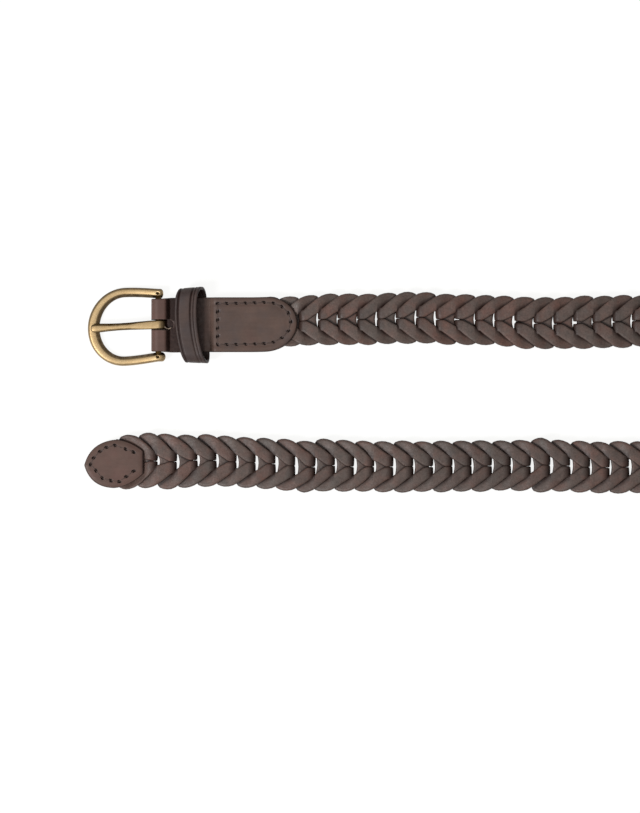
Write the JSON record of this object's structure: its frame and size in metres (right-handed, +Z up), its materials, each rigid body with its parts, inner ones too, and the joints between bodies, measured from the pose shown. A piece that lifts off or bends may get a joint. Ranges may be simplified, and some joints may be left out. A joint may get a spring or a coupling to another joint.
{
  "type": "braided leather belt with horseshoe buckle",
  "caption": "Braided leather belt of interlocked folded links, unfastened and lying flat in one loop, with a brass horseshoe buckle, prong, keeper loop, stitched tab and pointed tip patch.",
  "frame": {"origin": "middle of the belt's box, on the surface that it lies on", "axes": "+X from the buckle and the tip towards the turn, +Y from the tip strip towards the buckle strip, +Z up"},
  "size_m": [0.4518, 0.1334, 0.0125],
  "materials": {
    "brass": "satin, softly brushed and slightly aged",
    "strap_leather": "smooth dark brown with a faint sheen",
    "braid_leather": "smooth dark brown, creased at the folds"
  },
  "bodies": {
    "strap": {"chape_strap": "strap_leather", "keeper_loop": "strap_leather", "braid_buckle_half": "braid_leather", "braid_tip_half": "braid_leather", "tip_patch_front": "strap_leather", "tip_patch_back": "strap_leather"},
    "frame": {"buckle_frame": "brass"},
    "prong": {"buckle_prong": "brass"}
  },
  "joints": [
    {"name": "frame_tilt", "type": "hinge", "parent": "strap", "child": "frame", "pos_m": [-0.19165, 0.03159, 0.0033], "axis": [0, 1, 0], "range_deg": [-45, 30]},
    {"name": "prong_lift", "type": "hinge", "parent": "frame", "child": "prong", "pos_m": [-0.19165, 0.03159, 0.0033], "axis": [0, 1, 0], "range_deg": [0, 80]}
  ]
}
